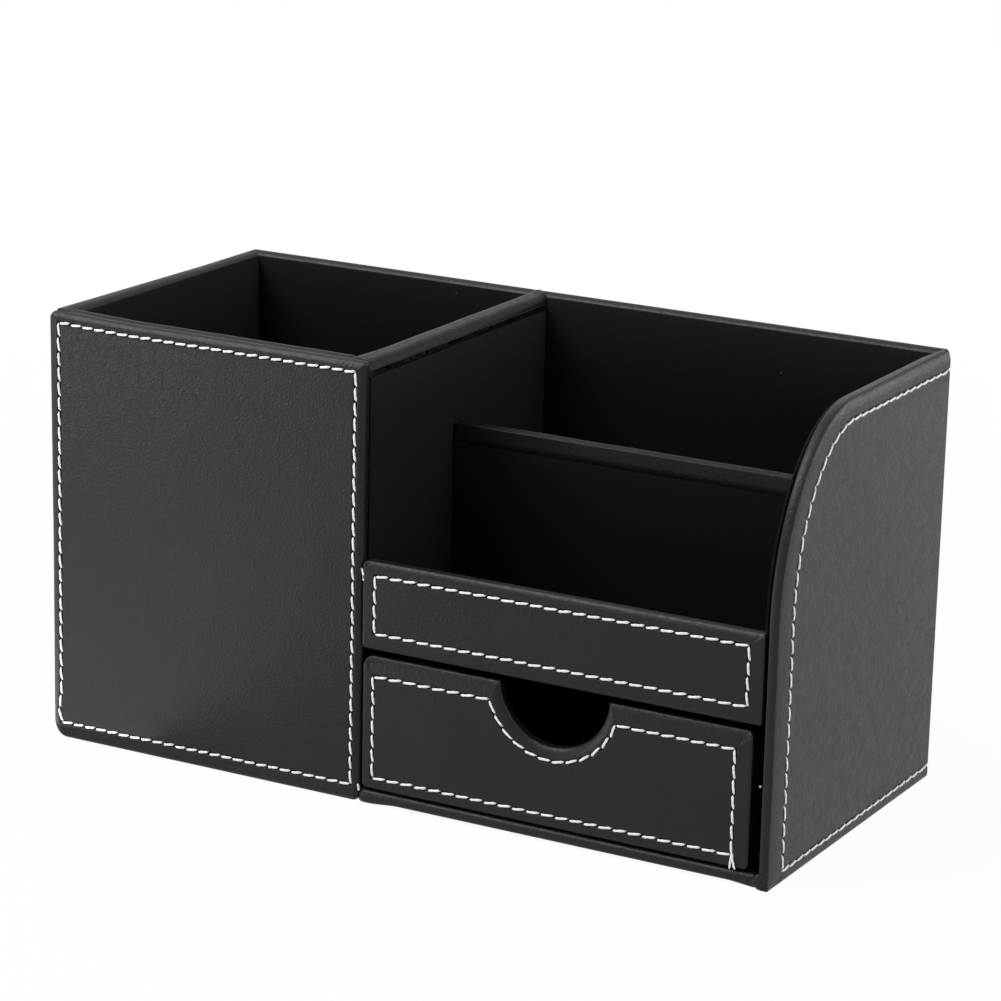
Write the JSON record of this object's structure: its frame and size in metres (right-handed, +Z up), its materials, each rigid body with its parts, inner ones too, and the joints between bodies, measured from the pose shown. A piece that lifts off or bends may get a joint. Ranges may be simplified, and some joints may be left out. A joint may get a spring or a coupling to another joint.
{
  "type": "pen stand with drawer",
  "caption": "Leather covered desk organizer with a tall pen box on the left, two open trays on the right and a sliding drawer with a finger notch under them.",
  "frame": {"origin": "middle of the underside, on the table", "axes": "+X to the right as seen from the front, +Y to the back, +Z up"},
  "size_m": [0.2386, 0.1116, 0.13],
  "materials": {
    "leather": "black imitation leather, fine grain, satin",
    "thread": "white polyester thread",
    "board": "bare fibreboard",
    "flannel": "matte black flannel",
    "felt": "matte black felt"
  },
  "bodies": {
    "carcass": {"base_edge_leather": "leather", "outer_leather_wrap": "leather", "front_panel_leather": "leather", "pen_front_leather": "leather", "pen_divider_leather": "leather", "tray_divider_edging": "leather", "fascia_leather": "leather", "outer_wrap_thread": "thread", "front_panel_thread": "thread", "fascia_thread": "thread", "base_board": "board", "left_side_board": "board", "right_side_board": "board", "back_board": "board", "pen_front_board": "board", "pen_divider_board": "board", "shelf_board": "board", "tray_divider_board": "board", "front_panel_board": "board", "fascia_board": "board", "pen_box_floor_lining": "flannel", "pen_box_left_card": "flannel", "pen_box_back_card": "flannel", "pen_box_front_card": "flannel", "pen_box_right_lining": "flannel", "tray_left_lining": "flannel", "front_tray_back_lining": "flannel", "rear_tray_front_lining": "flannel", "front_tray_floor_lining": "flannel", "rear_tray_floor_lining": "flannel", "rear_tray_back_card": "flannel", "right_side_card": "flannel", "front_tray_front_lining": "flannel", "bay_floor_lining": "flannel", "bay_ceiling_lining": "flannel", "bay_left_lining": "flannel", "bay_right_card": "flannel", "bay_back_card": "flannel", "bottom_felt": "felt"},
    "drawer": {"drawer_front_board": "board", "drawer_front_lining": "flannel", "drawer_front_leather": "leather", "drawer_front_thread": "thread", "drawer_left_board": "board", "drawer_right_board": "board", "drawer_back_board": "board", "drawer_bottom_board": "board", "drawer_lining": "flannel"}
  },
  "joints": [
    {"name": "drawer_slide", "type": "slide", "parent": "carcass", "child": "drawer", "axis": [0, -1, 0], "range_m": [0, 0.085]}
  ]
}
